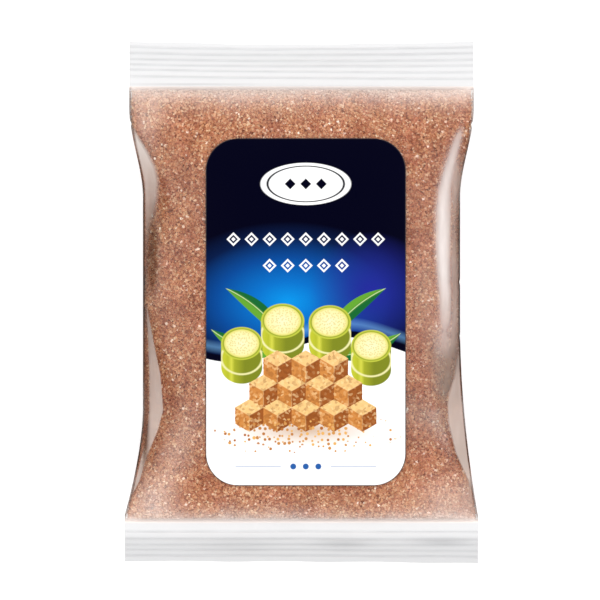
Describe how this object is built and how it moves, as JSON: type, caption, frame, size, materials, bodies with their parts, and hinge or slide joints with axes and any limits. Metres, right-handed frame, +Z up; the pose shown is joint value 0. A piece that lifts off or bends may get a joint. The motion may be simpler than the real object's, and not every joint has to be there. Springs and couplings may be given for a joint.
{
  "type": "pouch of sugar",
  "caption": "Clear film pillow pouch filled with brown cane sugar, with ribbed heat seals at both ends and a rounded label stuck on the front.",
  "frame": {"origin": "on the table, under the middle of the bag's outer box, with the bag lying on its back", "axes": "+Z up from the table towards the label side, +Y along the bag towards the top seal, +X across the bag to the right as the label is seen"},
  "size_m": [0.1414, 0.2088, 0.0346],
  "materials": {
    "film": "clear glossy film, tinted by the brown sugar behind it, milky white at the seals",
    "sugar": "fine reddish brown cane sugar crystals",
    "label_print": "semi-gloss printed label"
  },
  "bodies": {
    "root": {"pouch": "film", "label": "label_print"}
  },
  "joints": []
}
